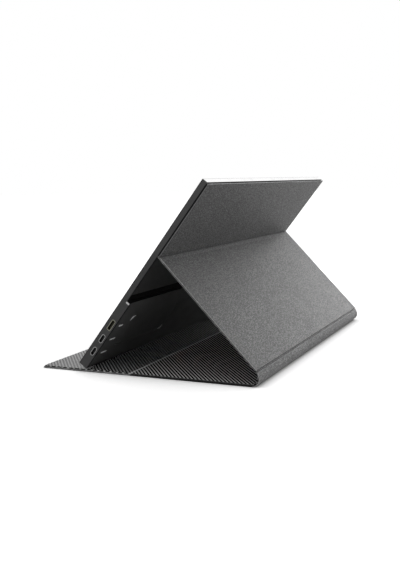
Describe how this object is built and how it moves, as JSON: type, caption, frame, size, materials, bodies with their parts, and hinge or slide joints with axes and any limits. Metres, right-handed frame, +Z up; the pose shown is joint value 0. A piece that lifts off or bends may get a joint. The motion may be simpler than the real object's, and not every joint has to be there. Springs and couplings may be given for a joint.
{
  "type": "portable monitor with cover",
  "caption": "Thin portable monitor tilted on its folding cover, which is a leg panel behind it and a striped base below it.",
  "frame": {"origin": "on the table, at the middle of the footprint's bounding box", "axes": "+Z up, +X to the side with the sockets, -Y to the side that the screen faces"},
  "size_m": [0.3632, 0.2354, 0.1865],
  "materials": {
    "frame_metal": "dark grey anodised, satin",
    "bezel_black": "matte black",
    "back_black": "satin black",
    "screen_glass": "matte, dark when off",
    "screen_film": "clear and white films",
    "steel": "bare sheet",
    "circuit_board": "green solder mask",
    "chip_black": "moulded",
    "socket_gold": "plated shell",
    "socket_nickel": "nickel plated",
    "flat_cable": "amber film",
    "magnet": "nickel plated",
    "cover_skin": "dark grey, fine mottled grain",
    "cover_board": "stiff sheet",
    "cover_lining": "black with fine diagonal stripes"
  },
  "bodies": {
    "rear_base": {"rear_base_skin": "cover_skin", "rear_base_stiffener": "cover_board", "rear_base_lining": "cover_lining"},
    "front_base": {"front_base_skin": "cover_skin", "front_base_stiffener": "cover_board", "front_base_lining": "cover_lining", "foot_magnets": "magnet", "closure_magnets": "magnet"},
    "spine": {"spine_skin": "cover_skin", "spine_stiffener": "cover_board", "spine_lining": "cover_lining"},
    "leg": {"leg_skin": "cover_skin", "leg_stiffener": "cover_board", "leg_lining": "cover_lining"},
    "upper_panel": {"upper_skin": "cover_skin", "upper_stiffener": "cover_board", "upper_lining": "cover_lining", "upper_magnets": "magnet"},
    "display": {"side_frame": "frame_metal", "front_bezel": "bezel_black", "antiglare_sheet": "screen_glass", "lcd_cell": "screen_glass", "film_stack": "screen_film", "light_guide": "screen_film", "reflector_sheet": "screen_film", "led_strip": "circuit_board", "steel_tray": "steel", "upper_back_plate": "back_black", "lower_back_housing": "back_black", "blank_label": "bezel_black", "main_board": "circuit_board", "scaler_chip": "chip_black", "shield_can": "steel", "video_socket": "socket_gold", "usb_socket_upper": "socket_nickel", "usb_socket_lower": "socket_nickel", "headphone_socket": "chip_black", "button_board": "circuit_board", "tact_switches": "chip_black", "speaker_left": "chip_black", "speaker_right": "chip_black", "panel_driver_board": "circuit_board", "panel_cable": "flat_cable", "board_screws": "steel", "bezel_magnets": "magnet"},
    "power_button": {"power_button": "frame_metal"},
    "menu_rocker": {"menu_rocker": "frame_metal"}
  },
  "joints": [
    {"name": "front_fold", "type": "hinge", "parent": "rear_base", "child": "front_base", "pos_m": [0, -0.01535, 0], "axis": [1, 0, 0], "range_deg": [0, 170]},
    {"name": "spine_lean", "type": "hinge", "parent": "rear_base", "child": "spine", "pos_m": [0, 0.11545, 0.0022], "axis": [-1, 0, 0], "range_deg": [0, 90]},
    {"name": "leg_rise", "type": "hinge", "parent": "spine", "child": "leg", "pos_m": [0, 0.11576, 0.0148], "axis": [-1, 0, 0], "range_deg": [-7.2, 36.96]},
    {"name": "stand_fold", "type": "hinge", "parent": "leg", "child": "upper_panel", "pos_m": [0, 0.0207, 0.11553], "axis": [1, 0, 0], "range_deg": [-15, 77]},
    {"name": "display_release", "type": "slide", "parent": "upper_panel", "child": "display", "axis": [0, -0.7859, 0.6184], "range_m": [0, 0.1]},
    {"name": "power_press", "type": "slide", "parent": "display", "child": "power_button", "axis": [1, 0, 0], "range_m": [0, 0.0005], "stiffness_N_per_m": 1500, "springref_m": -0.0005},
    {"name": "menu_rock", "type": "hinge", "parent": "display", "child": "menu_rocker", "pos_m": [-0.1777, -0.03916, 0.0422], "axis": [0, -0.7859, 0.6184], "range_deg": [-2.2, 2.2], "stiffness_Nm_per_rad": 0.15}
  ],
  "couplings": [
    {"joint": "leg_rise", "follows": "stand_fold", "ratio": 0.48}
  ]
}
